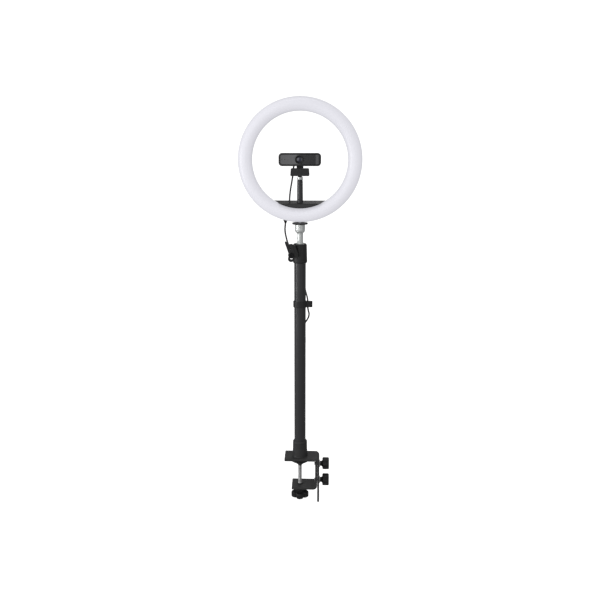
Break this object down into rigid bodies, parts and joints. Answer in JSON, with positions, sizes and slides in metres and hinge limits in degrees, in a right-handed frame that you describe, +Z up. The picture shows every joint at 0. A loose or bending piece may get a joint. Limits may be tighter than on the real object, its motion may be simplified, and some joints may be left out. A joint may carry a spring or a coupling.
{
  "type": "ring light",
  "caption": "Desk-clamp ring light on a telescoping post: opal light ring with a control case, a webcam on an arm inside the ring, a lever lock and a screw clamp.",
  "frame": {"origin": "on the post's axis, in the plane of the upper jaw pad's underside, where the desk top bears", "axes": "+Z up along the post, the light and the webcam face -Y, the clamp's spine and side knobs are on +X"},
  "size_m": [0.26, 0.0727, 0.887],
  "materials": {
    "plate_steel": "black powder coat, fine texture",
    "rubber": "matt black rubber",
    "tube_black": "satin black paint",
    "tube_inner": "brushed anodised",
    "black_plastic": "moulded black, fine grain",
    "gloss_black": "polished black",
    "nickel": "bright nickel plate",
    "zinc_steel": "zinc plated",
    "black_steel": "black oxide",
    "natural_nylon": "natural nylon",
    "opal": "opal diffuser, satin",
    "board_white": "white solder mask on aluminium",
    "lamp": "phosphor under clear resin",
    "board_green": "green solder mask",
    "hinge_nylon": "glass-filled nylon",
    "button_grey": "soft-touch grey",
    "smoked_glass": "smoked acrylic",
    "lead_black": "black PVC jacket",
    "tie": "woven hook tape"
  },
  "bodies": {
    "root": {"upper_jaw": "plate_steel", "jaw_pad": "rubber", "post_socket": "tube_black", "post_bolt": "zinc_steel", "outer_tube": "tube_black", "guide_bush": "natural_nylon", "lock_collar": "black_plastic", "lever_nut": "black_steel", "cable_clip": "black_plastic", "lead_mast": "lead_black", "lead_tail": "lead_black", "lead_hank": "lead_black", "hank_tie": "tie", "usb_plug": "lead_black"},
    "lower_jaw": {"lower_jaw": "plate_steel", "clamp_nut": "plate_steel"},
    "side_knob_upper": {"side_knob_upper": "black_plastic", "side_stud_upper": "zinc_steel"},
    "side_knob_lower": {"side_knob_lower": "black_plastic", "side_stud_lower": "zinc_steel"},
    "pad": {"pressure_pad": "black_plastic", "pad_face": "rubber", "pad_ring": "zinc_steel"},
    "screw": {"clamp_screw": "zinc_steel", "clamp_knob": "black_plastic"},
    "lever": {"lock_lever": "black_plastic", "lever_bolt": "black_steel"},
    "mast": {"inner_tube": "tube_inner", "mast_glide": "natural_nylon", "spigot": "nickel", "lead_pan": "lead_black"},
    "swivel": {"swivel_base": "black_plastic", "lead_tilt": "lead_black"},
    "head": {"diffuser": "opal", "rear_shell": "black_plastic", "led_board": "board_white", "leds": "lamp", "hinge_block": "hinge_nylon", "tilt_pin": "zinc_steel", "control_case": "black_plastic", "control_back": "black_plastic", "control_board": "board_green", "case_screws": "zinc_steel", "lead_boot": "rubber", "arm_post": "tube_black", "arm_stud": "nickel", "cam_lead_pan": "lead_black"},
    "power_button": {"power_button": "button_grey"},
    "dimmer_button": {"dimmer_button": "button_grey"},
    "brighter_button": {"brighter_button": "button_grey"},
    "colour_button": {"colour_button": "button_grey"},
    "clip": {"clip_block": "black_plastic", "neck_pin": "zinc_steel"},
    "camera": {"cam_bezel": "gloss_black", "cam_shell": "black_plastic", "cam_glass": "smoked_glass", "lens_barrel": "gloss_black", "cam_board": "board_green", "cam_lead_tilt": "lead_black"},
    "clip_leg": {"clip_leg": "black_plastic"}
  },
  "joints": [
    {"name": "jaw_slide", "type": "slide", "parent": "root", "child": "lower_jaw", "axis": [0, 0, 1], "range_m": [-0.03, 0]},
    {"name": "side_knob_upper_turn", "type": "hinge", "parent": "lower_jaw", "child": "side_knob_upper", "pos_m": [0.05, 0, -0.0136], "axis": [1, 0, 0], "range_deg": [-720, 0]},
    {"name": "side_knob_lower_turn", "type": "hinge", "parent": "lower_jaw", "child": "side_knob_lower", "pos_m": [0.05, 0, -0.0523], "axis": [1, 0, 0], "range_deg": [-720, 0]},
    {"name": "pad_travel", "type": "slide", "parent": "lower_jaw", "child": "pad", "axis": [0, 0, 1], "range_m": [-0.03, 0.00187]},
    {"name": "screw_turn", "type": "hinge", "parent": "pad", "child": "screw", "pos_m": [0, 0, -0.05], "axis": [0, 0, 1], "range_deg": [-8642, 542]},
    {"name": "lever_turn", "type": "hinge", "parent": "root", "child": "lever", "pos_m": [-0.017, -0.015, 0.4635], "axis": [0, -1, 0], "range_deg": [0, 60]},
    {"name": "mast_slide", "type": "slide", "parent": "root", "child": "mast", "axis": [0, 0, 1], "range_m": [0, 0.3], "deforming": ["lead_mast"]},
    {"name": "ring_pan", "type": "hinge", "parent": "mast", "child": "swivel", "pos_m": [0, 0, 0.529], "axis": [0, 0, 1], "range_deg": [-60, 60], "deforming": ["lead_pan"]},
    {"name": "ring_tilt", "type": "hinge", "parent": "swivel", "child": "head", "pos_m": [0, 0.002, 0.546], "axis": [1, 0, 0], "range_deg": [-25, 25], "deforming": ["lead_tilt"]},
    {"name": "camera_pan", "type": "hinge", "parent": "head", "child": "clip", "pos_m": [0, 0, 0.628], "axis": [0, 0, 1], "range_deg": [-60, 60], "deforming": ["cam_lead_pan"]},
    {"name": "camera_tilt", "type": "hinge", "parent": "clip", "child": "camera", "pos_m": [0, -0.001, 0.6405], "axis": [1, 0, 0], "range_deg": [-20, 20], "deforming": ["cam_lead_tilt"]},
    {"name": "leg_fold", "type": "hinge", "parent": "clip", "child": "clip_leg", "pos_m": [0, 0.0106, 0.641], "axis": [1, 0, 0], "range_deg": [0, 90]},
    {"name": "power_button_press", "type": "slide", "parent": "head", "child": "power_button", "axis": [0, -1, 0], "range_m": [0, 0.0008], "stiffness_N_per_m": 600, "springref_m": -0.0012},
    {"name": "dimmer_button_press", "type": "slide", "parent": "head", "child": "dimmer_button", "axis": [0, -1, 0], "range_m": [0, 0.0008], "stiffness_N_per_m": 600, "springref_m": -0.0012},
    {"name": "brighter_button_press", "type": "slide", "parent": "head", "child": "brighter_button", "axis": [0, -1, 0], "range_m": [0, 0.0008], "stiffness_N_per_m": 600, "springref_m": -0.0012},
    {"name": "colour_button_press", "type": "slide", "parent": "head", "child": "colour_button", "axis": [0, -1, 0], "range_m": [0, 0.0008], "stiffness_N_per_m": 600, "springref_m": -0.0012}
  ],
  "couplings": [
    {"joint": "screw_turn", "follows": "pad_travel", "rad_per_m": 5026.5}
  ]
}
